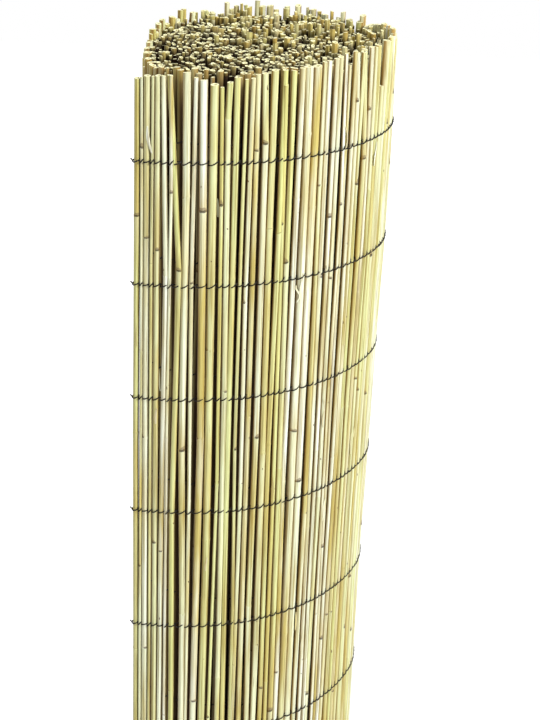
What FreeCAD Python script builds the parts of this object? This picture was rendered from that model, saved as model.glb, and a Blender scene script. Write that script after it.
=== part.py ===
import FreeCAD, Part
import Sketcher
import math
import os

# Reed screening: a mat of peeled reed canes bound with wire, rolled up and standing on end.
# The origin is on the roll's axis at the floor, +Z is up along the canes.
# Plan angles are measured from -Y towards +X. The loose end of the mat faces -Y.

# Sizes in millimetres and degrees
SIZES = {
    "roll_height": 1000,
    "roll_diameter": 195.6,
    "cane_diameter": 4.8,
    "cane_bore": 2.6,
    "cane_gap": 0.8,
    "turn_pitch": 6.2,
    "uneven_tops": 18,
    "uneven_feet": 4,
    "eye_diameter": 18,
    "end_step": 8,
    "loose_end_angle": 69,
    "loose_end_radius": 167,
    "loose_end_length": 230,
    "sag": 20,
    "sag_angle": -46,
    "sag_half_span": 60,
    "wire_thickness": 1.2,
    "wire_margin": 57,
    "wire_spacing": 100,
    "wire_wander": 7,
    "wire_run": 30,
    "clearance": 0.3,
}

# Sides of a cane's outer face and of its hollow
CANE_SIDES = 8
HOLLOW_SIDES = 5

# Step in plan angle by which points along a turn are found, in radians
ANGLE_STEP = 0.002

# Successive canes take this share of the unevenness, modulo one, so no two neighbours match
GOLDEN_SHARE = (math.sqrt(5) - 1) / 2

# The rows of wire wander up and down in a wave of this many rows, from this row on
WANDER_ROWS = 6
WANDER_START = 1.3

doc = FreeCAD.newDocument("reed_screening_roll")
sheet = doc.addObject("Spreadsheet::Sheet", "sizes")
for row, (alias, value) in enumerate(SIZES.items(), start=1):
    sheet.set("A%d" % row, alias)
    sheet.set("B%d" % row, str(value))
    sheet.setAlias("B%d" % row, alias)
doc.recompute()


def size(alias):
    return float(sheet.get(alias))


# The run of the mat, seen from above

cane_pitch = size("cane_diameter") + size("cane_gap")
leaving_angle = math.radians(size("loose_end_angle"))
turn_radius = (size("roll_diameter") - size("cane_diameter")) / 2
loose_radius = size("loose_end_radius") - size("cane_diameter") / 2


def outward(angle):
    return FreeCAD.Vector(math.sin(angle), -math.cos(angle), 0)


# The loose end is an arc tangent to the roll where the mat leaves it
loose_centre = outward(leaving_angle) * (turn_radius - loose_radius)


sag_angle = math.radians(size("sag_angle"))
sag_half_span = math.radians(size("sag_half_span"))


def sag(angle):
    """How far the turns have sprung out at a plan angle, always towards the sag's own angle."""
    away = math.remainder(angle - sag_angle, 2 * math.pi) / sag_half_span
    share = max(-1, min(1, away))
    return outward(sag_angle) * (size("sag") * math.cos(share * math.pi / 2) ** 2)


def on_turn(angle, offset=0):
    """A point of the outer turn, which winds in by one pitch in a full turn and sags under the loose end."""
    wound_in = size("turn_pitch") * (angle - leaving_angle) / (2 * math.pi)
    return outward(angle) * (turn_radius - wound_in + offset) + sag(angle)


def on_loose_end(angle, offset=0):
    return loose_centre + outward(angle) * (loose_radius + offset)


def loose_end_places():
    """Where the canes of the loose end stand, each a point and the direction of the mat there."""
    count = int(size("loose_end_length") / cane_pitch)
    angles = [leaving_angle - (i + 0.5) * cane_pitch / loose_radius for i in range(count)]
    return [(on_loose_end(angle), angle) for angle in angles]


def turn_places(first, last, offset=0):
    """Canes side by side along a turn, from one plan angle to another."""
    places = []
    angle = first
    while angle < last:
        point = on_turn(angle, offset)
        ahead = on_turn(angle + ANGLE_STEP, offset) - point
        places.append((point, math.atan2(ahead.y, ahead.x)))
        angle += cane_pitch * ANGLE_STEP / ahead.Length
    return places


def outer_turn_places():
    """The outer turn, and as much of the next turn in as the sag carries clear of the inner turns."""
    start = leaving_angle + 0.5 * cane_pitch / turn_radius
    least = inner_diameter() / 2 + size("clearance") + size("cane_diameter") / 2
    middle = sag_angle + 2 * math.pi
    angle = middle - sag_half_span
    while on_turn(angle, -size("turn_pitch")).Length < least:
        angle += ANGLE_STEP
    first = angle
    angle = middle + sag_half_span
    while on_turn(angle, -size("turn_pitch")).Length < least:
        angle -= ANGLE_STEP
    return turn_places(start, leaving_angle + 2 * math.pi) + turn_places(first, angle, -size("turn_pitch"))


def inner_diameter():
    """The inner turns fill the outer turn where it's wound in furthest."""
    return size("roll_diameter") - 2 * (
        size("cane_diameter") + size("turn_pitch") + size("clearance")
    )


# Reed canes

def bound(thing, **expressions):
    for name, expression in expressions.items():
        thing.setExpression(name, expression)
    return thing


def prism(name, sides, diameter, height):
    thing = doc.addObject("Part::Prism", name)
    thing.Polygon = sides
    return bound(thing, Circumradius="sizes.%s / 2" % diameter, Height=height)


def compound(name, links):
    thing = doc.addObject("Part::Compound", name)
    thing.Links = links
    return thing


def canes(label, places, first):
    """Hollow canes side by side along the mat, each a little longer or shorter than the next."""
    stems, hollows = [], []
    for i, (point, angle) in enumerate(places):
        top_share = (first + i) * GOLDEN_SHARE % 1
        foot_share = ((first + i) * GOLDEN_SHARE * 2 + 0.5) % 1
        foot = size("uneven_feet") * foot_share
        length = "sizes.roll_height - sizes.uneven_tops * %.4f - sizes.uneven_feet * %.4f" % (
            top_share,
            foot_share,
        )
        stem = prism("stem", CANE_SIDES, "cane_diameter", length)
        hollow = prism("hollow", HOLLOW_SIDES, "cane_bore", length)
        for thing in (stem, hollow):
            thing.Placement = FreeCAD.Placement(
                FreeCAD.Vector(point.x, point.y, foot),
                FreeCAD.Rotation(FreeCAD.Vector(0, 0, 1), math.degrees(angle)),
            )
        stems.append(stem)
        hollows.append(hollow)
    cut = doc.addObject("Part::Cut", label)
    cut.Base = compound(label + "_stems", stems)
    cut.Tool = compound(label + "_hollows", hollows)
    cut.Label = label
    return cut


# Inner turns, one turned solid whose ends step from turn to turn

def plane_of(body, role):
    return next(f for f in body.Origin.OriginFeatures if f.Role == role)


def ring_sketch(body, name, diameters, height=None):
    """Circles around the roll's axis on the body's XY plane, or at a height above it."""
    sketch = body.newObject("Sketcher::SketchObject", name)
    sketch.AttachmentSupport = [(plane_of(body, "XY_Plane"), "")]
    sketch.MapMode = "FlatFace"
    if height:
        sketch.setExpression(".AttachmentOffset.Base.z", height)
    for i, (start, expression) in enumerate(diameters):
        circle = Part.Circle(FreeCAD.Vector(), FreeCAD.Vector(0, 0, 1), start / 2)
        sketch.addGeometry(circle, False)
        sketch.addConstraint(Sketcher.Constraint("Coincident", i, 3, -1, 1))
        sketch.addConstraint(Sketcher.Constraint("Diameter", i, start))
        sketch.setExpression("Constraints[%d]" % (2 * i + 1), expression)
    return sketch


def inner_turns():
    body = doc.addObject("PartDesign::Body", "inner_turns")
    body.Label = "inner_turns"
    eye = size("eye_diameter")
    pitch = size("turn_pitch")
    inner_wall = "sizes.roll_diameter - 2 * (sizes.cane_diameter + sizes.turn_pitch + sizes.clearance)"
    inner = inner_diameter()
    height = "sizes.roll_height - sizes.uneven_tops / 2"
    pad = body.newObject("PartDesign::Pad", "wound_mat")
    pad.Profile = ring_sketch(
        body, "section", [(inner, inner_wall), (eye, "sizes.eye_diameter")]
    )
    pad.setExpression("Length", height)
    doc.recompute()
    for name, level, upwards, turns_a_step in (
        ("top_steps", height, False, 1),
        ("foot_steps", None, True, 2),
    ):
        before = body.Shape.Volume
        widening = 2 * pitch * turns_a_step
        rings = [
            (eye + widening * i, "sizes.eye_diameter + 2 * sizes.turn_pitch * %d" % (turns_a_step * i))
            for i in range(1, int((inner - eye) / widening - 0.5) + 1)
        ]
        pocket = body.newObject("PartDesign::Pocket", name)
        pocket.Profile = ring_sketch(body, name + "_rings", rings, level)
        pocket.Reversed = upwards
        pocket.setExpression("Length", "sizes.end_step")
        doc.recompute()
        if body.Shape.Volume >= before:
            raise RuntimeError(name + " cuts nothing")
    return body


# Binding wires, one for each row, drawn tight over the canes of the outer turn and the loose end

def corner(track, angle, step, reach):
    """A corner of a run of straight lines that touch the track halfway from corner to corner."""
    halfway = track(angle - step / 2, reach) + track(angle + step / 2, reach)
    return track(angle, reach) * 2 - halfway / 2


def wire_outline():
    """The wire's plan: its outer side from the free edge round the roll, and back along its inner side."""
    inner_side = size("cane_diameter") / 2 + size("clearance")
    spare = size("wire_thickness") + 2 * size("clearance") - (
        size("turn_pitch") - size("cane_diameter")
    )
    opening = 1 / turn_radius - 1 / loose_radius
    stop_short = math.sqrt(max(0, 2 * spare / opening)) / turn_radius
    loose_span = size("loose_end_length") / loose_radius
    turn_span = 2 * math.pi - stop_short
    loose_steps = math.ceil(loose_span * loose_radius / size("wire_run"))
    turn_steps = math.ceil(turn_span * turn_radius / size("wire_run"))
    sides = []
    for reach in (inner_side, inner_side + size("wire_thickness")):
        step = loose_span / loose_steps
        start = leaving_angle - loose_span
        side = [corner(on_loose_end, start + i * step, step, reach) for i in range(loose_steps)]
        step = turn_span / turn_steps
        side += [
            corner(on_turn, leaving_angle + i * step, step, reach) for i in range(turn_steps + 1)
        ]
        sides.append(side)
    return sides[1] + sides[0][::-1]


def binding_wires():
    outline = doc.addObject("Part::Polygon", "wire_plan")
    outline.Nodes = wire_outline()
    outline.Close = True
    usable = size("roll_height") - size("uneven_tops") / 2 - size("wire_margin")
    rows = int((usable - size("wire_wander") - size("uneven_feet")) / size("wire_spacing")) + 1
    wires = []
    for row in range(rows):
        wire = doc.addObject("Part::Extrusion", "wire_row")
        wire.Base = outline
        wire.DirMode = "Custom"
        wire.Dir = FreeCAD.Vector(0, 0, 1)
        wire.Solid = True
        wire.setExpression("LengthFwd", "sizes.wire_thickness")
        wave = math.sin(2 * math.pi * (row - WANDER_START) / WANDER_ROWS)
        wire.setExpression(
            "Placement.Base.z",
            "sizes.roll_height - sizes.uneven_tops / 2 - sizes.wire_margin"
            " - %d * sizes.wire_spacing + sizes.wire_wander * %.3f" % (row, wave),
        )
        wires.append(wire)
    return compound("binding_wires", wires)


loose_places = loose_end_places()
nodes = [
    canes("loose_end_canes", loose_places, 0),
    canes("outer_turn_canes", outer_turn_places(), len(loose_places)),
    inner_turns(),
    binding_wires(),
]
doc.recompute()

for thing in doc.Objects:
    if "Invalid" in thing.State or "Error" in thing.State:
        raise RuntimeError("%s failed: %s" % (thing.Name, thing.State))
for node in nodes:
    if node.Shape.isNull() or not node.Shape.isValid():
        raise RuntimeError(node.Label + " has no valid shape")

os.makedirs("parts", exist_ok=True)
for node in nodes:
    node.Shape.exportStep("parts/%s.step" % node.Label)
    box = node.Shape.BoundBox
    print(
        node.Label,
        len(node.Shape.Solids),
        "solids, volume %.0f mm3" % node.Shape.Volume,
        "x %.1f..%.1f y %.1f..%.1f z %.1f..%.1f"
        % (box.XMin, box.XMax, box.YMin, box.YMax, box.ZMin, box.ZMax),
    )
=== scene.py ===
import math

import bpy
import numpy as np
from mathutils import Matrix, Vector


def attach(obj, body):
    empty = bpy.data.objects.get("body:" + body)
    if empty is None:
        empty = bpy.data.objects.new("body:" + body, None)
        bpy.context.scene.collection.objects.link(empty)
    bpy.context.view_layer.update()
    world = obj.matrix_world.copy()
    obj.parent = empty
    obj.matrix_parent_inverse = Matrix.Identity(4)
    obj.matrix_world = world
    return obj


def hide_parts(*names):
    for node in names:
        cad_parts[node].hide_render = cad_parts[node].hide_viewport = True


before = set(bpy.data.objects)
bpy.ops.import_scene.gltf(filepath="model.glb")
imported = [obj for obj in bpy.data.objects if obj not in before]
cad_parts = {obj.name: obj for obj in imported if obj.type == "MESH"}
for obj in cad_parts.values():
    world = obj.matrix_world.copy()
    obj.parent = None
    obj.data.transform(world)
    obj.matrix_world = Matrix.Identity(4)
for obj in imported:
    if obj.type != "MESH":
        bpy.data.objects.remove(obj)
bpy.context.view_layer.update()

# A reed screening roll on end. Lengths are in metres. Plan angles run from -Y towards +X.
# A curve is a list of (place, value) points, and read_off() gives its value at any place.

SEED = 11
rng = np.random.default_rng(SEED)

# The mat's run in plan, as the solids have it
RIM_LEVEL = 0.990
LEAVING_ANGLE = math.radians(69)
TURN_RADIUS = 0.0954
LOOSE_RADIUS = 0.1646
LOOSE_LENGTH = 0.230
TURN_PITCH = 0.0062
TURN_STEPS = 1440
SAG = 0.020
SAG_ANGLE = math.radians(-46)
SAG_HALF_SPAN = math.radians(60)
CANE_RADIUS = 0.0024
EYE_RADIUS = 0.0070


def read_off(curve, place):
    return np.interp(place, *zip(*curve))


def spread(low, high, count):
    return rng.uniform(low, high, count)


def outward(angle):
    return np.stack([np.sin(angle), -np.cos(angle)], axis=-1)


LOOSE_CENTRE = outward(LEAVING_ANGLE) * (TURN_RADIUS - LOOSE_RADIUS)


def sag(angle):
    """How far the turn under the loose end has sprung out too, towards the sag's own angle."""
    away = (angle - SAG_ANGLE + math.pi) % (2 * math.pi) - math.pi
    share = np.clip(away / SAG_HALF_SPAN, -1, 1)
    return (SAG * np.cos(share * math.pi / 2) ** 2)[..., None] * outward(SAG_ANGLE)


def on_turn(angle):
    wound_in = TURN_PITCH * (angle - LEAVING_ANGLE) / (2 * math.pi)
    return outward(angle) * (TURN_RADIUS - wound_in)[..., None] + sag(angle)


TURN_ANGLES = np.linspace(LEAVING_ANGLE, LEAVING_ANGLE + 2 * math.pi, TURN_STEPS + 1)
TURN_POINTS = on_turn(TURN_ANGLES)
TURN_RUNS = np.concatenate([[0], np.cumsum(np.hypot(*np.diff(TURN_POINTS, axis=0).T))])
TURN_LENGTH = TURN_RUNS[-1]
TURN_HEADINGS = np.unwrap(np.arctan2(*np.gradient(TURN_POINTS, axis=0)[:, ::-1].T))


def mat_place(run, offset=0.0):
    """Plan point and facing angle at a run along the mat, which is below zero on the loose end."""
    run = np.asarray(run, float)
    loose_angle = LEAVING_ANGLE + run / LOOSE_RADIUS
    turn_angle = np.interp(run, TURN_RUNS, TURN_ANGLES)
    loose = run < 0
    facing = np.where(loose, loose_angle, np.interp(run, TURN_RUNS, TURN_HEADINGS))
    on_loose = LOOSE_CENTRE + outward(loose_angle) * LOOSE_RADIUS
    point = np.where(loose[..., None], on_loose, on_turn(turn_angle))
    return point + outward(facing) * np.asarray(offset)[..., None], facing


# Above the second row of wire the mat flares out at the right, and below it draws in
FLARE_SHARE = [(0.375, 0.0), (1.0, 1.0)]
FLARE = [
    (0.0, -0.0030), (0.43, -0.0036), (0.54, -0.0036), (0.64, -0.0022),
    (0.74, -0.0012), (0.83, 0.0006), (0.93, 0.0012), (1.0, 0.0013),
]


def flare(facing, level):
    return read_off(FLARE_SHARE, np.sin(facing)) * read_off(FLARE, level)


# Canes side by side along the mat. The gaps between them close up along the loose end
USUAL_RADIUS = 0.0023
RADIUS_SPREAD = 0.00030
THIN_SHARE = 0.13
THIN_RADII = (0.0012, 0.0017)
THICK_SHARE = 0.12
THICK_RADII = (0.0028, 0.0034)
RADIUS_LIMITS = (0.0011, 0.0034)
LEAST_PITCH = 0.0040
GAPS = [(-0.230, 0.0014), (-0.165, 0.0013), (-0.125, 0.0007), (0.0, 0.0005), (0.10, 0.0008), (0.60, 0.0010)]
GAP_SPREAD = 0.0004
GAP_LIMITS = (0.0002, 0.0022)
FIRST_CANES = 4
FIRST_GAP = -0.0003


def cane_radii(count):
    """Mostly even canes, with some thick and some thin ones among them."""
    radii = rng.normal(USUAL_RADIUS, RADIUS_SPREAD, count)
    pick = rng.random(count)
    radii = np.where(pick < THIN_SHARE, spread(*THIN_RADII, count), radii)
    radii = np.where(pick > 1 - THICK_SHARE, spread(*THICK_RADII, count), radii)
    return np.clip(radii, *RADIUS_LIMITS)


def lay_canes(start, end):
    """Runs and radii of canes side by side from start to end, the first few pressed together."""
    count = int((end - start) / LEAST_PITCH)
    radii = cane_radii(count)
    rough_runs = start + (end - start) * np.arange(count) / count
    gaps = np.clip(rng.normal(read_off(GAPS, rough_runs), GAP_SPREAD), *GAP_LIMITS)
    keep = start + np.cumsum(2 * radii + gaps) < end
    radii, gaps = radii[keep], gaps[keep]
    gaps[:FIRST_CANES] = FIRST_GAP
    edges = start + np.cumsum(2 * radii + gaps)
    stretch = (end - start) / (edges[-1] - start)
    return start + (edges - gaps / 2 - radii - start) * stretch, radii


# Levels of the outer canes' tops, by run on the loose end and by plan angle in degrees on the turn
LOOSE_RIM = [
    (-0.230, 0.9890), (-0.211, 0.9903), (-0.185, 0.9912), (-0.176, 0.9865),
    (-0.165, 0.9840), (-0.158, 0.9880), (-0.144, 0.9905), (-0.109, 0.9930),
    (-0.091, 0.9952), (-0.072, 0.9975), (-0.045, 0.9985), (0.0, 0.9975),
]
TURN_RIM = [
    (69, 0.9975), (90, 0.9935), (115, 0.9905), (170, 0.9915), (250, 0.9900), (268, 0.9870),
    (285, 0.9780), (300, 0.9760), (318, 0.9820), (345, 0.9840), (429, 0.9850),
]
UNEVEN_TOPS = [(-0.23, 0.0008), (-0.15, 0.0012), (0.0, 0.0014), (0.12, 0.0030)]
TOP_LIMITS = (0.965, 0.9988)
UNEVEN_FEET = 0.0015
LEAST_FOOT = 0.0002

# Runs at which a cane is broken off short, and by how much
SHORT_CANES = [(-0.118, 0.010), (-0.060, 0.009), (-0.017, 0.046), (0.030, 0.013)]
SHORT_REACH = 0.005

# How bleached the canes are, how much shade is painted dark on their flanks, and how much painted shade they
# get under the loose end
# Canes are bleached at random, and paler at the right, where the light falls most, as painted light
BLEACHED_AND_PAINTED_LIGHT = [(-0.19, 0.2), (-0.13, 0.1), (-0.06, 0.45), (0.08, 0.45), (0.14, 0.1)]
FLANK_SHADE_BY_RUN = [
    (-0.220, 1.6), (-0.205, 1.0), (-0.155, 1.0), (-0.115, 0.6),
    (-0.06, 0.35), (-0.03, 0.12), (0.08, 0.10), (0.14, 0.6),
]
UNDER = [(276, 0.0), (288, 0.85), (304, 1.0)]

# The canes at the mat's free edge hardly kink, and those past the leaving line lean along the mat
EDGE_STRIP = 0.020
EDGE_KINKS = 0.2
LEAN_FROM_RUN = -0.012
LEAN_AT_FIRST = 0.005
LEAN_FADES_IN = 0.02


def rim_level(run, turned):
    """The outer canes' tops aren't level: low behind the loose end, highest at the right."""
    level = np.where(run < 0, read_off(LOOSE_RIM, run), read_off(TURN_RIM, turned))
    for place, drop in SHORT_CANES:
        nearest = np.argmin(np.abs(run - place))
        if abs(run[nearest] - place) < SHORT_REACH:
            level[nearest] -= drop
    return level


def mat_canes(runs, radii):
    """What each cane of the loose end or the outer turn is like."""
    count = len(runs)
    points, facing = mat_place(runs, CANE_RADIUS - radii)
    turned = np.degrees(np.interp(runs, TURN_RUNS, TURN_ANGLES))
    past_leaving = runs - LEAN_FROM_RUN
    pale_and_lit = read_off(BLEACHED_AND_PAINTED_LIGHT, runs)
    low = np.abs(rng.normal(0, UNEVEN_FEET, count)) + LEAST_FOOT
    high = rim_level(runs, turned) + rng.normal(0, 1, count) * read_off(UNEVEN_TOPS, runs)
    return {
        "points": points,
        "facing": facing,
        "radii": radii,
        "low": low,
        "high": np.clip(high, *TOP_LIMITS),
        "steady": np.where(runs < -LOOSE_LENGTH + EDGE_STRIP, EDGE_KINKS, 1.0),
        "lean": np.where(past_leaving > 0, LEAN_AT_FIRST * np.exp(-past_leaving / LEAN_FADES_IN), 0.0),
        "flank_shade": read_off(FLANK_SHADE_BY_RUN, runs),
        "under": read_off(UNDER, turned),
        "tone": pale_and_lit + (1 - pale_and_lit) * rng.random(count),
    }


# Meshes of many tubes
SIDES = 12
INNER_SIDES = 8
SCRAP_SIDES = 6
WIRE_SIDES = 5
SHARP_ANGLE = math.radians(40)
WHOLE_TURN = 6.28
OUT_OF_ROUND = 0.05
FAR = 0.5
PLAIN = {"rise": FAR, "fall": FAR, "near": FAR, "mark": 0, "cut": 0, "hollow": 0, "dark": 0}


def ring_angles(sides):
    return np.arange(sides) * 2 * math.pi / sides


def tube_mesh(name, verts, clockwise=False):
    """Closed tubes from verts (tubes, rings, sides, 3), going round as seen from their last rings."""
    tubes, rings, sides, _ = verts.shape
    index = np.arange(tubes * rings * sides).reshape(tubes, rings, sides)
    low, high = index[:, :-1], index[:, 1:]
    corners = [low, np.roll(low, -1, 2), np.roll(high, -1, 2), high]
    caps = np.concatenate([index[:, 0, ::-1], index[:, -1]])
    if clockwise:
        corners = [low, *corners[:0:-1]]
        caps = caps[:, ::-1]
    quads = np.stack(corners, -1).reshape(-1, 4)
    loops = np.concatenate([quads.ravel(), caps.ravel()])
    totals = np.concatenate([np.full(len(quads), 4), np.full(len(caps), sides)])
    starts = np.concatenate([[0], np.cumsum(totals)[:-1]])
    mesh = bpy.data.meshes.new(name)
    mesh.vertices.add(verts.size // 3)
    mesh.vertices.foreach_set("co", verts.astype(np.float32).ravel())
    mesh.loops.add(len(loops))
    mesh.loops.foreach_set("vertex_index", loops.astype(np.int32))
    mesh.polygons.add(len(totals))
    mesh.polygons.foreach_set("loop_start", starts.astype(np.int32))
    mesh.polygons.foreach_set("use_smooth", np.ones(len(totals), bool))
    mesh.update(calc_edges=True)
    mesh.validate()
    return mesh


def add_piece(name, mesh):
    piece = bpy.data.objects.new(name, mesh)
    bpy.context.scene.collection.objects.link(piece)
    return piece


def swept(name, centres, radii, ovals, attributes, tilt, sides):
    """Upright tubes from centres (tubes, rings, 3), radii (tubes, rings) and tilt (tubes, rings, 2)."""
    around = ring_angles(sides)
    cos, sin = np.cos(around), np.sin(around)
    wobble = 1 + ovals[:, None, None, 0] * np.cos(2 * around + ovals[:, None, None, 1])
    reach = radii[..., None] * wobble
    rise = tilt[..., 0, None] * cos + tilt[..., 1, None] * sin
    verts = centres[:, :, None] + np.stack([reach * cos, reach * sin, reach * rise], -1)
    mesh = tube_mesh(name, verts)
    for key, values in (PLAIN | attributes).items():
        values = np.asarray(values, float)
        values = values.reshape(values.shape + (1,) * (3 - values.ndim))
        layer = mesh.attributes.new(key, "FLOAT", "POINT")
        layer.data.foreach_set("value", np.broadcast_to(values, reach.shape).astype(np.float32).ravel())
    mesh.set_sharp_from_angle(angle=SHARP_ANGLE)
    return add_piece(name, mesh)


def oval(count, most):
    """How far from round each tube is, up to most, and which way it is longest."""
    return np.stack([spread(0, most, count), spread(0, WHOLE_TURN, count)], -1)


# The ends of canes
END_RINGS = 6
HOLLOW_RINGS = 2
CHAMFER = 0.00015
BORE_SHARES = (0.45, 0.62)
HOLLOW_DEPTHS = (0.006, 0.014)
TOP_SLANT = 0.10


def hollow_ends(low, high, radius, bore, depth):
    """Heights and radii of the rings of both ends: the foot's from the bore out, the top's back in."""
    foot_z = np.stack([low + depth, low + depth, low + CHAMFER, low, low, low + CHAMFER], 1)
    foot_r = np.stack([bore * 0.05, bore * 0.9, bore, bore + CHAMFER, radius - CHAMFER, radius], 1)
    top_z = np.stack([high - CHAMFER, high, high, high - CHAMFER, high - depth, high - depth], 1)
    top_r = np.stack([radius, radius - CHAMFER, bore + CHAMFER, bore, bore * 0.9, bore * 0.05], 1)
    return foot_z, foot_r, top_z, top_r


def end_marks(z):
    """One on the rings of the cut ends, and one on those down in the hollow."""
    cut, hollow = np.zeros_like(z), np.zeros_like(z)
    cut[:, : END_RINGS - 1] = 1
    cut[:, 1 - END_RINGS:] = 1
    hollow[:, :HOLLOW_RINGS] = 1
    hollow[:, -HOLLOW_RINGS:] = 1
    return cut, hollow


# Canes with nodes: the stretches between nodes, the rings round each node and the kinks there
NODES = 5
STRETCH_SHARES = (0.75, 1.3)
FIRST_STRETCH = (0.1, 1.0)
LAST_STRETCH = (0.15, 1.0)
NODE_RINGS = np.array([-0.0070, -0.0015, -0.0004, 0.0004, 0.0015, 0.0070])
NODE_SWELL = np.array([0.00, 0.03, 0.09, 0.07, 0.01, 0.00])
LEAST_SCAR = 0.00025
FAINT_NODES = 0.45
FAINT_MARKS = (0.1, 0.4)
STRONG_MARKS = (0.4, 1.0)
NODE_SLANT = 0.13
BUD_WANDER = 0.5
NARROWINGS = (0.10, 0.24)
KINK = 0.0009
DIP = (-0.0001, 0.00025)
TOP_DIP = (-0.0003, 0.00045)
LEANERS = 0.22
LEANERS_KINK = 0.0042
LEANERS_DIP = 0.0014
MOST_PROUD = 0.0001
BEYOND_ENDS = 0.01


def node_stops(low, high):
    """Heights of each cane's foot, nodes and top."""
    count = len(low)
    shares = spread(*STRETCH_SHARES, (count, NODES + 1))
    shares[:, 0] *= spread(*FIRST_STRETCH, count)
    shares[:, -1] *= spread(*LAST_STRETCH, count)
    cuts = np.cumsum(shares / shares.sum(1, keepdims=True), 1)[:, :-1]
    nodes = low[:, None] + cuts * (high - low)[:, None]
    return np.concatenate([low[:, None], nodes, high[:, None]], 1)


def wall_rings(stops):
    """Rings up a cane's wall: heights, and each ring's swelling, stretch, node and distance from it."""
    heights, rings = [], []
    for k in range(NODES + 1):
        bottom, top = stops[:, k], stops[:, k + 1]
        span = top - bottom
        if k < NODES:
            levels = [bottom + span / 3, top - span / 3]
        else:
            levels = [top - np.minimum(0.030, 0.6 * span), top - np.minimum(0.010, 0.25 * span)]
        for at, node in zip(levels, (max(k - 1, 0), min(k, NODES - 1))):
            heights.append(at)
            rings.append((0.0, k, node, FAR))
        if k < NODES:
            for offset, bulge in zip(NODE_RINGS, NODE_SWELL):
                stretch = k if offset < 0 else k + 1
                heights.append(top + offset)
                rings.append((bulge, stretch, k, abs(offset) - NODE_RINGS[3] + LEAST_SCAR))
    swell, stretch, node, near = np.array(rings).T
    return np.stack(heights, 1), swell, stretch.astype(int), node.astype(int), near


def kinked(canes, stops, z):
    """Centres of a cane's rings at heights z, kinked at the nodes, in the mat's plane and out of it."""
    count = len(z)
    out = outward(canes["facing"])
    side = np.stack([-out[:, 1], out[:, 0]], -1)
    knots = stops.copy()
    knots[:, 0] -= BEYOND_ENDS
    knots[:, -1] += BEYOND_ENDS
    sway = rng.normal(0, KINK, knots.shape)
    leaners = (rng.random(count) < LEANERS) & (canes["steady"] == 1)
    sway[:, -1] = rng.normal(0, np.where(leaners, LEANERS_KINK, KINK))
    sway *= canes["steady"][:, None]
    sway[:, -1] += canes["lean"]
    dip = rng.normal(*DIP, knots.shape)
    dip[:, -1] = rng.normal(*TOP_DIP, count) - LEANERS_DIP * leaners
    dip = np.minimum(dip, MOST_PROUD)
    across = np.stack([np.interp(z[i], knots[i], sway[i]) for i in range(count)])
    depth = np.stack([np.interp(z[i], knots[i], dip[i]) for i in range(count)])
    depth += flare(canes["facing"][:, None], z)
    plan = canes["points"][:, None] + across[..., None] * side[:, None] + depth[..., None] * out[:, None]
    return np.concatenate([plan, z[..., None]], -1)


# Painted shade on the skin, by how far a side faces away: -1 on the mat's outer face, 1 on its inner face
INNER_FACE = 0.3
GOLDEN_ROUND = [(-0.68, 0.0), (-0.15, 1.0), (0.35, 1.0), (0.80, 0.30)]
FLANK_FADES = [(0.35, 1.0), (0.75, 0.12)]
INSIDE_BY_DEPTH = [(0.008, 0.15), (0.028, 1.0)]
SHADE_BY_DEPTH = [(0.0, 0.2), (0.003, 0.60), (0.012, 0.86), (0.03, 0.96)]
OPEN_SIDE = math.radians(-75)
LIT_FROM_OPEN = [(0.3, 0.0), (0.8, 1.0)]
SHADE_GOLDEN = 0.70
LIT_LESS_GOLDEN = 0.35
LIT_LESS_DARK = 0.40
FLANKS_FROM = -0.25
FLANKS_SPAN = 0.50
SHADE_WIDENS = 0.3


def skin_shading(canes, z):
    """How golden and how dark each side of each ring is painted, as shade.

    Where canes touch, golden brown shade is painted on their skin, and in the shade of the roll it's painted
    dark.
    Near the rim the painted shade is lighter, and so it is on the sides that face the open left of the roll."""
    around = ring_angles(SIDES)
    ways = np.stack([np.cos(around), np.sin(around)], -1)
    away = -(outward(canes["facing"]) @ ways.T)[:, None, :]
    lit = read_off(LIT_FROM_OPEN, ways @ outward(OPEN_SIDE))
    sunk = np.clip(canes["high"][:, None] - z, 0, None)[..., None]
    under = canes["under"][:, None, None]
    flank_shade = canes["flank_shade"][:, None, None]
    inside = np.where(away > INNER_FACE, read_off(INSIDE_BY_DEPTH, sunk), 1.0)
    in_shade = (SHADE_GOLDEN - LIT_LESS_GOLDEN * lit) * under
    golden = np.maximum(read_off(GOLDEN_ROUND, away) * inside, in_shade)
    # Dark shade painted on the flanks, between canes, wider where more is painted
    flank = np.clip((away - FLANKS_FROM + SHADE_WIDENS * flank_shade) / FLANKS_SPAN, 0, 1)
    flank = flank * np.minimum(flank_shade, 1) * inside
    shaded = read_off(SHADE_BY_DEPTH, sunk) * under * (1 - LIT_LESS_DARK * lit)
    return golden, np.maximum(flank * read_off(FLANK_FADES, away), shaded)


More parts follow.
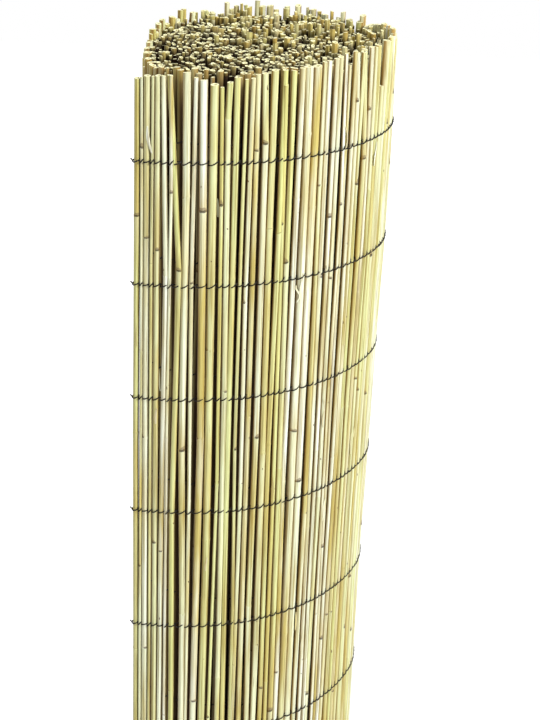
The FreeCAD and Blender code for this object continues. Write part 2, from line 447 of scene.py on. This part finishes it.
def cane_piece(name, canes):
    """Canes with swollen nodes, slight kinks, taper, and cut hollow ends."""
    radii, low, high = canes["radii"], canes["low"], canes["high"]
    count = len(radii)
    stops = node_stops(low, high)
    faint = rng.random((count, NODES)) < FAINT_NODES
    marks = np.where(faint, spread(*FAINT_MARKS, faint.shape), spread(*STRONG_MARKS, faint.shape))
    heights, swell, stretch, node, near = wall_rings(stops)

    # Taper from butt to tip, either way up, and the hollow ends
    bore = radii * spread(*BORE_SHARES, count)
    depth = spread(*HOLLOW_DEPTHS, count)
    foot_z, foot_r, top_z, top_r = hollow_ends(low, high, radii, bore, depth)
    narrowing = spread(*NARROWINGS, count) * canes["steady"] * rng.choice([-1.0, 1.0], count)
    narrowing = narrowing[:, None]
    along = (heights - low[:, None]) / (high - low)[:, None]
    wall_r = radii[:, None] * (1 - narrowing * (along - 0.5)) * (1 + swell)
    z = np.concatenate([foot_z, heights, top_z], 1)
    r = np.concatenate([foot_r * (1 + narrowing / 2), wall_r, top_r * (1 - narrowing / 2)], 1)
    stretch, node, near = (np.pad(values, END_RINGS, mode="edge") for values in (stretch, node, near))
    centres = kinked(canes, stops, z)

    # The tops are cut askew, and the nodes slant
    tilt = np.zeros(z.shape + (2,))
    tilt[:, -END_RINGS:] = rng.normal(0, TOP_SLANT, (count, 1, 2))
    slants = rng.normal(0, NODE_SLANT, (count, NODES, 2))
    beside_node = np.abs(near) < NODE_RINGS[-1]
    tilt[:, beside_node] = slants[:, node[beside_node]]

    # A node's scar is darkest at its bud, and the buds change sides up the cane
    buds = spread(0, 2 * math.pi, (count, 1)) + math.pi * np.arange(NODES)
    buds = buds + rng.normal(0, BUD_WANDER, (count, NODES))
    beside_bud = np.cos(ring_angles(SIDES) - buds[:, node, None])
    mark = marks[:, node, None] * (0.08 + 0.92 * np.clip(0.2 + beside_bud, 0, 1))

    # Each stretch between nodes is as ripe as a scramble of its number and the cane's tone makes it
    tone = np.broadcast_to(canes["tone"][:, None], z.shape)
    ripe = (np.sin(stretch * 12.9 + tone * 78.2) * 43.7) % 1
    # Painted shade: golden brown where canes touch, and dark in the shade of the roll
    golden, dark = skin_shading(canes, z)
    cut, hollow = end_marks(z)
    attributes = {
        "tone": tone,
        "ripe": ripe,
        "rise": np.where(stretch > 0, z - stops[:, stretch], FAR),
        "fall": np.where(stretch < NODES, stops[:, stretch + 1] - z, FAR),
        "near": np.broadcast_to(near, z.shape),
        "mark": mark,
        "cut": cut,
        "hollow": hollow,
        "golden_tint_and_shade": golden,
        "dark": dark,
    }
    return swept(name, centres, r, oval(count, OUT_OF_ROUND), attributes, tilt, SIDES)


# Scraps of sheath that still cling to the canes, as thin curled strips. Placed ones are (run, foot, length)
SCRAPS = 46
SCRAP_RINGS = 14
SCRAP_FROM_RUN = -0.225
SCRAP_TURN_SHARE = 0.8
SCRAP_FEET = (0.05, 0.93)
SCRAP_LENGTHS = (0.006, 0.026)
SCRAP_WIDTHS = (0.00030, 0.00062)
SCRAP_SWING = 0.0009
SCRAP_SWINGS = (2, 7)
SCRAP_SLIDE = 0.0016
SCRAP_MOST_CURL = 0.0006
SCRAP_SUNK = 0.0002
SCRAP_FLATNESS = 0.6
SCRAP_TONES = (0.75, 1.0)
SCRAP_RIPE = 0.8
SCRAP_MOST_GOLDEN = 0.35
PLACED_SCRAPS = [(-0.2165, 0.934, 0.020), (-0.101, 0.815, 0.020), (-0.1035, 0.812, 0.014)]


def sheath_scraps(name):
    one_each = (SCRAPS, 1)
    runs = spread(SCRAP_FROM_RUN, TURN_LENGTH * SCRAP_TURN_SHARE, SCRAPS)
    feet = spread(*SCRAP_FEET, SCRAPS)
    lengths = spread(*SCRAP_LENGTHS, SCRAPS)
    for i, (run, foot, length) in enumerate(PLACED_SCRAPS):
        runs[i], feet[i], lengths[i] = run, foot, length
    t = np.linspace(0, 1, SCRAP_RINGS)
    swing = rng.normal(0, SCRAP_SWING, one_each) * np.sin(t * spread(*SCRAP_SWINGS, one_each))
    slide = rng.normal(0, SCRAP_SLIDE, one_each) * t
    curl = spread(0.0, SCRAP_MOST_CURL, one_each) * t ** 2
    along = runs[:, None] + swing + slide
    level = feet[:, None] + lengths[:, None] * t
    _, facing = mat_place(along)
    plan, _ = mat_place(along, CANE_RADIUS - SCRAP_SUNK + curl + flare(facing, level))
    centres = np.concatenate([plan, level[..., None]], -1)
    widths = spread(*SCRAP_WIDTHS, one_each) * (0.25 + np.sin(math.pi * (0.12 + 0.80 * t)))
    ovals = np.stack([np.full(SCRAPS, SCRAP_FLATNESS), -2 * facing[:, 0]], -1)
    attributes = {
        "tone": spread(*SCRAP_TONES, one_each),
        "ripe": SCRAP_RIPE,
        "golden_tint_and_shade": spread(0, SCRAP_MOST_GOLDEN, one_each),
    }
    return swept(name, centres, widths, ovals, attributes, np.zeros(level.shape + (2,)), SCRAP_SIDES)


# Inner turns: wound in a spiral inside the outer turn, pushed apart, then filled up
INNER_TURN = 0.0043
INNER_RADIUS = 0.00165
INNER_RADIUS_SPREAD = 0.00036
INNER_RADIUS_LIMITS = (0.0010, 0.0026)
INNER_WANDER = 0.0006
INNER_GAP = 0.0002
SAG_FADES_AT = 0.045
PUSH_ROUNDS = 80
PUSH_SHARE = 0.45
PUSH_GAP = 0.0001
OUTER_GAP = 0.0003
FILL_TRIES = 9000
FILL_REACH = 0.11
FILL_MOST_RADIUS = 0.0022
FILL_GAP = 0.00015

bearings = np.arctan2(TURN_POINTS[:, 0], -TURN_POINTS[:, 1])
by_bearing = np.argsort(bearings)
OUTER_BEARINGS = bearings[by_bearing]
OUTER_REACHES = np.hypot(*TURN_POINTS.T)[by_bearing] - CANE_RADIUS


def outer_reach(points):
    """How far from the axis the outer turn's inner face is, on the bearing of each point."""
    bearing = np.arctan2(points[..., 0], -points[..., 1])
    return np.interp(bearing, OUTER_BEARINGS, OUTER_REACHES, period=2 * math.pi)


def wound_places():
    """Plan points and radii of inner canes along the spiral, some of them overlapping."""
    radii, points = [], []
    angle, level = LEAVING_ANGLE, TURN_RADIUS - TURN_PITCH
    while level > EYE_RADIUS + CANE_RADIUS:
        radius = float(np.clip(rng.normal(INNER_RADIUS, INNER_RADIUS_SPREAD), *INNER_RADIUS_LIMITS))
        share = max(0.0, (level - SAG_FADES_AT) / (TURN_RADIUS - SAG_FADES_AT))
        sprung = sag(np.array(angle)) * share
        points.append(outward(angle) * (level + rng.normal(0, INNER_WANDER)) + sprung)
        radii.append(radius)
        step = (2 * radius + INNER_GAP) / (level + np.hypot(*sprung))
        angle += step
        level -= INNER_TURN * step / (2 * math.pi)
    return np.array(points), np.array(radii)


def push_apart(points, radii):
    """Move overlapping canes off each other, between the eye and the outer turn."""
    for _ in range(PUSH_ROUNDS):
        gap = points[:, None] - points[None]
        far = np.hypot(gap[..., 0], gap[..., 1]) + np.eye(len(radii))
        need = radii[:, None] + radii[None] + PUSH_GAP - far
        push = np.clip(need, 0, None) * (1 - np.eye(len(radii)))
        points += PUSH_SHARE * (gap / far[..., None] * push[..., None]).sum(1)
        reach = np.hypot(points[:, 0], points[:, 1])
        held = np.clip(reach, EYE_RADIUS + radii, outer_reach(points) - radii - OUTER_GAP)
        points *= (held / np.maximum(reach, 1e-6))[:, None]


def inner_places():
    """Plan points and radii of all the inner canes."""
    points, radii = wound_places()
    push_apart(points, radii)
    for candidate in rng.uniform(-FILL_REACH, FILL_REACH, (FILL_TRIES, 2)):
        reach = math.hypot(*candidate)
        beside = (np.hypot(*(points - candidate).T) - radii).min()
        room = min(float(outer_reach(candidate)) - reach, reach - EYE_RADIUS, beside) - FILL_GAP
        if room > INNER_RADIUS_LIMITS[0]:
            points = np.vstack([points, candidate])
            radii = np.append(radii, min(room, FILL_MOST_RADIUS))
    return points, radii


# The inner canes, whose tops are lower where the turns have sprung out and more uneven at the back
INNER_PIECES = 3
INNER_LEVEL = 0.9845
SPRUNG_DROP = 0.008
SPRUNG_RIM = [(0.075, 0.0), (0.095, 1.0)]
BACK_DEPTH = 0.12
UNEVEN_INNER_TOPS = (0.0017, 0.0024)
SUNK_SHARE = 0.07
SUNK_DEPTHS = (0.004, 0.012)
INNER_TOP_LIMITS = (0.955, 0.9990)
UNEVEN_INNER_FEET = 0.0025
LEAST_INNER_FOOT = 0.0003
INNER_BORE_SHARES = (0.46, 0.66)
INNER_HOLLOW_DEPTHS = (0.005, 0.012)
INNER_TOP_SLANT = 0.16
INNER_OUT_OF_ROUND = 0.07
INNER_TONES = (0, 0.75)
INNER_NODE_DROPS = (0.004, 0.30)
INNER_MARK = 0.5
INNER_WALL_DROPS = np.array([0.930, 0.300, 0.030, 0.009, 0.003])
# Shade painted on the inner canes' walls, darker further below their level
INNER_SHADE_BY_DEPTH = [(-0.0040, 0.05), (-0.0010, 0.60), (0.0015, 1.00)]
INNER_GOLDEN = 0.32
INNER_LEAN_FROM = 0.88
INNER_LEAN_CURVE = 1.5
INNER_LEAN = 0.0004
INNER_LEANERS = 0.03
INNER_LEANERS_LEAN = 0.005


def held_in(points, radii, lean):
    """Leans of the inner canes' tops, stopped where the outer turn is in the way."""
    reach = np.hypot(*points.T)
    away = points / reach[:, None]
    room = np.clip(outer_reach(points) - reach - radii, 0, None)
    beyond = np.clip((lean * away).sum(1) - room, 0, None)
    return lean - beyond[:, None] * away


def inner_canes():
    """What each inner cane is like."""
    points, radii = inner_places()
    count = len(radii)
    behind = np.clip((points[:, 0] + points[:, 1]) / BACK_DEPTH + 0.5, 0, 1)
    sprung = np.hypot(*sag(np.arctan2(points[:, 0], -points[:, 1])).T) / SAG
    level = INNER_LEVEL - SPRUNG_DROP * sprung * read_off(SPRUNG_RIM, np.hypot(*points.T))
    uneven, more_behind = UNEVEN_INNER_TOPS
    high = level + rng.normal(0, 1, count) * (uneven + more_behind * behind)
    sunk = rng.random(count) < SUNK_SHARE
    high = np.where(sunk, high - spread(*SUNK_DEPTHS, count), high)
    low = np.abs(rng.normal(0, UNEVEN_INNER_FEET, count)) + LEAST_INNER_FOOT
    lean = rng.normal(0, INNER_LEAN, (count, 2))
    leaning = rng.random(count) < INNER_LEANERS
    lean[leaning] = rng.normal(0, INNER_LEANERS_LEAN, (leaning.sum(), 2))
    return {
        "points": points,
        "radii": radii,
        "low": low,
        "high": np.clip(high, *INNER_TOP_LIMITS),
        "level": level,
        "lean": held_in(points, radii, lean),
    }


def inner_piece(name, canes):
    """Inner canes, whose walls hardly show: plain walls, uneven hollow ends."""
    radii, low, high = canes["radii"], canes["low"], canes["high"]
    count = len(radii)
    bore = radii * spread(*INNER_BORE_SHARES, count)
    depth = spread(*INNER_HOLLOW_DEPTHS, count)
    foot_z, foot_r, top_z, top_r = hollow_ends(low, high, radii, bore, depth)
    z = np.concatenate([foot_z, high[:, None] - INNER_WALL_DROPS, top_z], 1)
    r = np.concatenate([foot_r, np.repeat(radii[:, None], len(INNER_WALL_DROPS), 1), top_r], 1)
    share = np.clip((z - INNER_LEAN_FROM) / (1 - INNER_LEAN_FROM), 0, 1) ** INNER_LEAN_CURVE
    plan = canes["points"][:, None] + canes["lean"][:, None] * share[..., None]
    centres = np.concatenate([plan, z[..., None]], -1)
    tilt = np.zeros(z.shape + (2,))
    tilt[:, -END_RINGS:] = rng.normal(0, INNER_TOP_SLANT, (count, 1, 2))
    tone = spread(*INNER_TONES, (count, 1))
    node = high - spread(*INNER_NODE_DROPS, count)
    cut, hollow = end_marks(z)
    attributes = {
        "tone": tone,
        "ripe": (tone * 7.3) % 1,
        "rise": np.abs(z - node[:, None]),
        "mark": INNER_MARK,
        "cut": cut,
        "hollow": hollow,
        # A golden tint, and shade painted darker further below the tops
        "golden_tint_and_shade": INNER_GOLDEN,
        "dark": read_off(INNER_SHADE_BY_DEPTH, canes["level"][:, None] - z),
    }
    return swept(name, centres, r, oval(count, INNER_OUT_OF_ROUND), attributes, tilt, INNER_SIDES)


# Rows of wire
WIRE_RADIUS = 0.00052
WIRE_ROWS = 10
WIRE_TOP_LEVEL = RIM_LEVEL + 0.001 - 0.057
WIRE_SPACING = 0.100
WIRE_WANDER = 0.007
WANDER_ROWS = 6
WANDER_START = 1.3
WIRE_STOPS_SHORT = 0.032
WIRE_SLANT = 0.0011
WIRE_SLANT_VARIES = 0.0004
WIRE_SLANT_STEP = 2.4
SHOULDER = 0.72


def wire_level(row):
    wander = WIRE_WANDER * math.sin(2 * math.pi * (row - WANDER_START) / WANDER_ROWS)
    return WIRE_TOP_LEVEL - WIRE_SPACING * row + wander


def wire_points(runs, radii, level):
    """Both strands of a row, twisted in the gaps: one crosses the canes in front, the other behind.

    A strand's points are first (run along the mat, offset outwards, rise)."""
    w = WIRE_RADIUS
    edge = runs[0] - radii[0]
    middles = (runs[:-1] + radii[:-1] + runs[1:] - radii[1:]) / 2
    borders = np.concatenate([[edge - w], middles, [runs[-1] + radii[-1] + w]])
    front = [(edge - 0.0022, 0.0012, 0.0016), (edge - 0.0010, 0.0004, -0.0002)]
    back = [(edge - 0.0012, -0.0008, -0.0018), (edge - 0.0006, -0.0004, 0.0004)]
    for i, (run, radius, before, after) in enumerate(zip(runs, radii, borders[:-1], borders[1:])):
        rest = CANE_RADIUS - radius
        slant = WIRE_SLANT + WIRE_SLANT_VARIES * math.sin(i * WIRE_SLANT_STEP)
        shoulder = SHOULDER * radius
        front += [
            (before, rest + 0.2 * radius, -slant * 1.15),
            (run - shoulder, rest + shoulder + w, -slant * 0.8),
            (run, CANE_RADIUS + w, 0.0),
            (run + shoulder, rest + shoulder + w, slant * 0.8),
            (after - 0.0001, rest + 0.35 * radius, slant * 1.25),
            (after, rest - 0.35 * radius, slant * 0.2),
        ]
        back += [
            (before, rest - 0.5 * radius, slant * 0.2),
            (run, rest - radius - w, 0.0),
            (after - 0.0002, rest - 0.4 * radius, 0.0006),
            (after, rest + 0.55 * radius, 0.0020),
        ]
    strands = []
    for path in (np.array(front), np.array(back)):
        _, facing = mat_place(path[:, 0])
        plan, _ = mat_place(path[:, 0], path[:, 1] + flare(facing, level))
        strands.append(np.column_stack([plan, level + path[:, 2]]))
    return strands


def strand_piece(name, points):
    """Round wires along points given as (wires, points, 3)."""
    tangent = np.gradient(points, axis=1)
    tangent /= np.linalg.norm(tangent, axis=2, keepdims=True) + 1e-12
    first = np.cross(tangent, (0.0, 0.0, 1.0))
    first /= np.linalg.norm(first, axis=2, keepdims=True) + 1e-9
    second = np.cross(first, tangent)
    around = ring_angles(WIRE_SIDES)[:, None]
    ring = first[:, :, None] * np.cos(around) + second[:, :, None] * np.sin(around)
    return add_piece(name, tube_mesh(name, points[:, :, None] + WIRE_RADIUS * ring, clockwise=True))


# Materials

class Graph:
    """The nodes of a material or world. Values are sockets, numbers, or tuples for colours and vectors."""

    def __init__(self, owner):
        owner.use_nodes = True
        self.nodes = owner.node_tree.nodes
        self.links = owner.node_tree.links

    def feed(self, socket, value):
        if isinstance(value, bpy.types.NodeSocket):
            self.links.new(value, socket)
        elif isinstance(value, tuple) and socket.type == "RGBA":
            socket.default_value = (*value, 1)
        else:
            socket.default_value = value

    def add(self, kind, values):
        node = self.nodes.new(kind)
        for key, value in values.items():
            self.feed(node.inputs[key], value)
        return node

    def place(self):
        return self.nodes.new("ShaderNodeTexCoord").outputs["Object"]

    def attribute(self, name):
        node = self.nodes.new("ShaderNodeAttribute")
        node.attribute_name = name
        return node.outputs["Fac"]

    def maths(self, operation, *values, clamp=False):
        node = self.add("ShaderNodeMath", dict(enumerate(values)))
        node.operation = operation
        node.use_clamp = clamp
        return node.outputs[0]

    def times(self, *values):
        product = values[0]
        for value in values[1:]:
            product = self.maths("MULTIPLY", product, value)
        return product

    def ramp(self, value, stops):
        node = self.add("ShaderNodeValToRGB", {0: value})
        elements = node.color_ramp.elements
        while len(elements) < len(stops):
            elements.new(0.5)
        for element, (position, colour) in zip(elements, stops):
            element.position = position
            element.color = (*colour, 1)
        return node.outputs[0]

    def blend(self, factor, first, second, mode="MIX"):
        node = self.nodes.new("ShaderNodeMix")
        node.data_type = "RGBA"
        node.blend_type = mode
        self.feed(node.inputs[0], factor)
        self.feed(node.inputs[6], first)
        self.feed(node.inputs[7], second)
        return node.outputs[2]

    def noise(self, vector, scale, detail, roughness, seed=None):
        values = {"Vector": vector, "Scale": scale, "Detail": detail, "Roughness": roughness}
        node = self.add("ShaderNodeTexNoise", values)
        if seed is not None:
            node.noise_dimensions = "4D"
            self.feed(node.inputs["W"], seed)
        return node.outputs["Fac"]

    def drawn_out(self, vector, share):
        """A place whose height counts for only a share, so that noise on it runs along the grain."""
        values = {"Vector": vector, "Scale": (1.0, 1.0, share)}
        return self.add("ShaderNodeMapping", values).outputs["Vector"]

    def mapped(self, value, low, high, at_low, at_high):
        values = {"Value": value, "From Min": low, "From Max": high, "To Min": at_low, "To Max": at_high}
        return self.add("ShaderNodeMapRange", values).outputs["Result"]

    def fading(self, value, low, high):
        return self.mapped(value, low, high, 1.0, 0.0)

    def bump(self, height, strength, distance):
        values = {"Height": height, "Strength": strength, "Distance": distance}
        return self.add("ShaderNodeBump", values).outputs["Normal"]

    def white_to_camera(self, lit, share, brightness):
        """White, by a share, where the camera or a reflection looks, and the lit surface for other light."""
        path = self.nodes.new("ShaderNodeLightPath")
        seen = self.maths("MAXIMUM", path.outputs["Is Camera Ray"], path.outputs["Is Glossy Ray"])
        seen = self.maths("MAXIMUM", seen, path.outputs["Is Transmission Ray"])
        white = self.add("ShaderNodeEmission", {"Strength": brightness})
        mix = self.add("ShaderNodeMixShader", {0: self.times(seen, share), 1: lit, 2: white.outputs[0]})
        return mix.outputs[0]


BARK = [
    (0.00, (0.47, 0.36, 0.10)),
    (0.13, (0.59, 0.53, 0.17)),
    (0.30, (0.62, 0.64, 0.26)),
    (0.55, (0.67, 0.70, 0.38)),
    (0.80, (0.75, 0.79, 0.55)),
    (1.00, (0.82, 0.86, 0.73)),
]
BANDS = [(0.32, (0.66, 0.58, 0.44)), (0.49, (1.0, 1.0, 1.0)), (0.66, (1.13, 1.14, 1.14))]
STREAKS = [(0.28, (0.74, 0.70, 0.60)), (0.50, (1.0, 1.0, 1.0)), (0.72, (1.10, 1.10, 1.08))]
PITH = [(0.30, (0.62, 0.50, 0.21)), (0.44, (0.86, 0.82, 0.46)), (0.68, (0.89, 0.89, 0.66))]
STAIN = (0.56, 0.47, 0.15)
SPECK = (0.12, 0.075, 0.035)
SPLIT = (0.30, 0.20, 0.08)
TOAST = (0.50, 0.37, 0.13)
BLOOM = (0.78, 0.79, 0.56)
SMUDGE = (0.17, 0.12, 0.07)
SCAR = (0.045, 0.030, 0.018)
# GOLDEN is painted shade where canes touch, and a tint on inner canes and scraps; SHADE and HOLLOW are
# painted shade
GOLDEN = (0.48, 0.27, 0.050)
SHADE = (0.030, 0.015, 0.008)
HOLLOW = (0.020, 0.012, 0.006)
NODE_TINT = (0.001, 0.030)
REED_ROUGHNESS = (0.34, 0.54)


def reed_bark(graph, place, seed, grain):
    """Each cane's own tone, with stains, streaks along the grain, specks and splits."""
    # Each stretch between nodes shifts its cane's tone a little
    shift = graph.maths("MULTIPLY_ADD", graph.attribute("ripe"), 0.30, -0.15)
    bark = graph.ramp(graph.maths("ADD", graph.attribute("tone"), shift, clamp=True), BARK)
    stain = graph.noise(graph.drawn_out(place, 0.12), 55.0, 3.0, 0.6, seed)
    stained = graph.blend(graph.fading(stain, 0.34, 0.56), bark, STAIN)
    bands = graph.noise(graph.drawn_out(place, 0.012), 850.0, 1.0, 0.5, seed)
    banded = graph.blend(1.0, stained, graph.ramp(bands, BANDS), "MULTIPLY")
    streaked = graph.blend(1.0, banded, graph.ramp(grain, STREAKS), "MULTIPLY")
    speck = graph.noise(graph.drawn_out(place, 0.45), 330.0, 1.0, 0.5, seed)
    specked = graph.blend(graph.maths("GREATER_THAN", speck, 0.775), streaked, SPECK)
    split = graph.noise(graph.drawn_out(place, 0.030), 620.0, 1.0, 0.5, seed)
    return graph.blend(graph.times(graph.maths("GREATER_THAN", split, 0.735), 0.6), specked, SPLIT)


def reed_nodes(graph, place, seed, bark):
    """Nodes: a tan stretch above, a pale one below, a smudge and a dark scar between them."""
    rise, mark = graph.attribute("rise"), graph.attribute("mark")
    uneven = graph.noise(place, 420.0, 3.0, 0.6, seed)
    toasted = graph.blend(graph.times(graph.fading(rise, *NODE_TINT), 0.60, mark), bark, TOAST)
    below = graph.fading(graph.attribute("fall"), *NODE_TINT)
    bloomed = graph.blend(graph.times(below, 0.60, mark), toasted, BLOOM)
    smudge = graph.maths("LESS_THAN", rise, graph.times(uneven, mark, 0.0085))
    smudged = graph.blend(graph.times(smudge, 0.62), bloomed, SMUDGE)
    scar = graph.maths("LESS_THAN", graph.attribute("near"), graph.times(uneven, mark, 0.0021))
    return graph.blend(graph.times(scar, 0.85), smudged, SCAR)


def reed_material():
    material = bpy.data.materials.new("reed")
    graph = Graph(material)
    place = graph.place()
    seed = graph.times(graph.attribute("tone"), 60.0)
    dark = graph.attribute("dark")
    grain = graph.noise(graph.drawn_out(place, 0.012), 2600.0, 2.0, 0.6, seed)
    skin = reed_nodes(graph, place, seed, reed_bark(graph, place, seed, grain))
    # Golden brown painted shade between canes and a golden tint, then dark painted shade
    golden = graph.blend(graph.times(graph.attribute("golden_tint_and_shade"), 0.95), skin, GOLDEN)
    shaded = graph.blend(dark, golden, SHADE)

    # Cut ends show pale pith, and shade is painted near black down in the hollow
    pith = graph.ramp(graph.noise(place, 1500.0, 2.0, 0.7, seed), PITH)
    ended = graph.blend(graph.attribute("cut"), shaded, pith)
    hollowed = graph.blend(graph.attribute("hollow"), ended, HOLLOW)

    shader = graph.nodes["Principled BSDF"]
    graph.feed(shader.inputs["Base Color"], hollowed)
    roughness = graph.maths("MAXIMUM", graph.mapped(grain, 0, 1, *REED_ROUGHNESS), dark)
    graph.feed(shader.inputs["Roughness"], roughness)
    graph.feed(shader.inputs["Specular IOR Level"], 0.18)
    graph.feed(shader.inputs["Normal"], graph.bump(grain, 0.35, 0.0002))
    return material


WIRE_COLOURS = [(0.35, (0.008, 0.007, 0.006)), (0.60, (0.022, 0.017, 0.012)), (0.80, (0.07, 0.04, 0.02))]
WIRE_ROUGHNESS = [(0.3, (0.48, 0.48, 0.48)), (0.8, (0.85, 0.85, 0.85))]


def wire_material():
    material = bpy.data.materials.new("wire")
    graph = Graph(material)
    mottle = graph.noise(graph.place(), 380.0, 4.0, 0.5)
    shader = graph.nodes["Principled BSDF"]
    graph.feed(shader.inputs["Base Color"], graph.ramp(mottle, WIRE_COLOURS))
    graph.feed(shader.inputs["Roughness"], graph.ramp(mottle, WIRE_ROUGHNESS))
    graph.feed(shader.inputs["Metallic"], 0.15)
    graph.feed(shader.inputs["Specular IOR Level"], 0.25)
    graph.feed(shader.inputs["Normal"], graph.bump(mottle, 0.3, 0.0001))
    return material


# Camera, fitted to the wire rows and the rim. Its focal length is in pixels of a picture this high
CAMERA_BACK = 1.3426
CAMERA_ABOVE_RIM = 0.3149
CAMERA_YAW = 0.0061
CAMERA_PITCH = 0.4156
CAMERA_ROLL = 0.0366
FOCAL_PIXELS = 1734.88
PICTURE_HEIGHT = 720


def add_camera():
    data = bpy.data.cameras.new("camera")
    data.sensor_fit = "VERTICAL"
    data.sensor_height = 36.0
    data.lens = FOCAL_PIXELS * data.sensor_height / PICTURE_HEIGHT
    camera = bpy.data.objects.new("camera", data)
    bpy.context.scene.collection.objects.link(camera)
    yaw, pitch, roll = CAMERA_YAW, CAMERA_PITCH, CAMERA_ROLL
    ahead = Vector((math.sin(yaw) * math.cos(pitch), math.cos(yaw) * math.cos(pitch), -math.sin(pitch)))
    level = Vector((math.cos(yaw), -math.sin(yaw), 0))
    upright = level.cross(ahead)
    right = math.cos(roll) * level + math.sin(roll) * upright
    up = -math.sin(roll) * level + math.cos(roll) * upright
    turn = Matrix((right, up, -ahead)).transposed()
    place = Matrix.Translation((0, -CAMERA_BACK, RIM_LEVEL + CAMERA_ABOVE_RIM))
    camera.matrix_world = place @ turn.to_4x4()
    bpy.context.scene.camera = camera


# Studio. Lamps are (place, target, width, height, watts)
FLOOR_SIZE = 8
FLOOR_GREY = (0.88, 0.88, 0.88)
SHADOW_REACH = (0.25, 0.60)
WORLD_FILL = 0.12
LAMPS = {
    "key": ((2.02, -1.38, 2.25), (0, 0, 0.75), 0.7, 1.0, 92),
    "front_fill": ((-1.5, -2.0, 1.5), (0, 0, 0.6), 1.4, 1.4, 18),
    "back_fill": ((-1.7, 1.7, 1.7), (0, 0, 0.5), 1.6, 1.6, 22),
    "overhead": ((0, 0.2, 3.0), (0, 0, 0), 2.4, 2.4, 28),
}


def add_floor():
    """A pale floor that the camera sees as nearly white, but for the shadow near the roll."""
    bpy.ops.mesh.primitive_plane_add(size=FLOOR_SIZE, location=(0, 0, 0))
    floor = bpy.context.object
    floor.name = "floor"
    material = bpy.data.materials.new("floor")
    graph = Graph(material)
    shader = graph.nodes["Principled BSDF"]
    graph.feed(shader.inputs["Base Color"], FLOOR_GREY)
    graph.feed(shader.inputs["Roughness"], 0.9)
    distance = graph.nodes.new("ShaderNodeVectorMath")
    distance.operation = "LENGTH"
    graph.feed(distance.inputs[0], graph.place())
    nearness = graph.fading(distance.outputs["Value"], *SHADOW_REACH)
    share = graph.maths("SUBTRACT", 0.95, graph.times(nearness, 0.50))
    surface = graph.white_to_camera(shader.outputs[0], share, 1.3)
    graph.feed(graph.nodes["Material Output"].inputs["Surface"], surface)
    floor.data.materials.append(material)


def add_world():
    world = bpy.data.worlds.new("studio")
    bpy.context.scene.world = world
    graph = Graph(world)
    fill = graph.nodes["Background"]
    graph.feed(fill.inputs["Color"], (1.0, 1.0, 1.0))
    graph.feed(fill.inputs["Strength"], WORLD_FILL)
    surface = graph.white_to_camera(fill.outputs[0], 1.0, 1.0)
    graph.feed(graph.nodes["World Output"].inputs["Surface"], surface)


def add_lamp(name, place, target, width, height, watts):
    data = bpy.data.lights.new(name, "AREA")
    data.shape = "RECTANGLE"
    data.size, data.size_y = width, height
    data.energy = watts
    lamp = bpy.data.objects.new(name, data)
    lamp.location = place
    lamp.rotation_euler = (Vector(target) - Vector(place)).to_track_quat("-Z", "Y").to_euler()
    bpy.context.scene.collection.objects.link(lamp)


def main():
    add_camera()
    add_floor()
    add_world()
    for name, settings in LAMPS.items():
        add_lamp(name, *settings)
    reed, wire = reed_material(), wire_material()

    # The loose end and the outer turn
    loose_runs, loose_radii = lay_canes(-LOOSE_LENGTH, 0)
    turn_runs, turn_radii = lay_canes(0, TURN_LENGTH)
    for name, runs, radii, node in (
        ("loose_end", loose_runs, loose_radii, "loose_end_canes"),
        ("outer_turn", turn_runs, turn_radii, "outer_turn_canes"),
    ):
        piece = cane_piece(name, mat_canes(runs, radii))
        piece.data.materials.append(reed)
        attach(piece, "root")
        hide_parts(node)

    scraps = sheath_scraps("sheath_scraps")
    scraps.data.materials.append(reed)
    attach(scraps, "root")
    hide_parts("loose_end_canes", "outer_turn_canes")

    # The inner turns, every third cane in each piece
    canes = inner_canes()
    for k in range(INNER_PIECES):
        own = {key: values[k::INNER_PIECES] for key, values in canes.items()}
        piece = inner_piece("inner_turns_%d" % (k + 1), own)
        piece.data.materials.append(reed)
        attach(piece, "root")
        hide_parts("inner_turns")

    # The wires
    runs = np.concatenate([loose_runs, turn_runs])
    radii = np.concatenate([loose_radii, turn_radii])
    wired = runs < TURN_LENGTH - WIRE_STOPS_SHORT
    rows = [wire_points(runs[wired], radii[wired], wire_level(row)) for row in range(WIRE_ROWS)]
    fronts, backs = zip(*rows)
    for name, strands in (("wire_in_front", fronts), ("wire_behind", backs)):
        piece = strand_piece(name, np.stack(strands))
        piece.data.materials.append(wire)
        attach(piece, "root")
        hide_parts("binding_wires")

    bpy.context.scene.view_settings.view_transform = "Standard"


main()
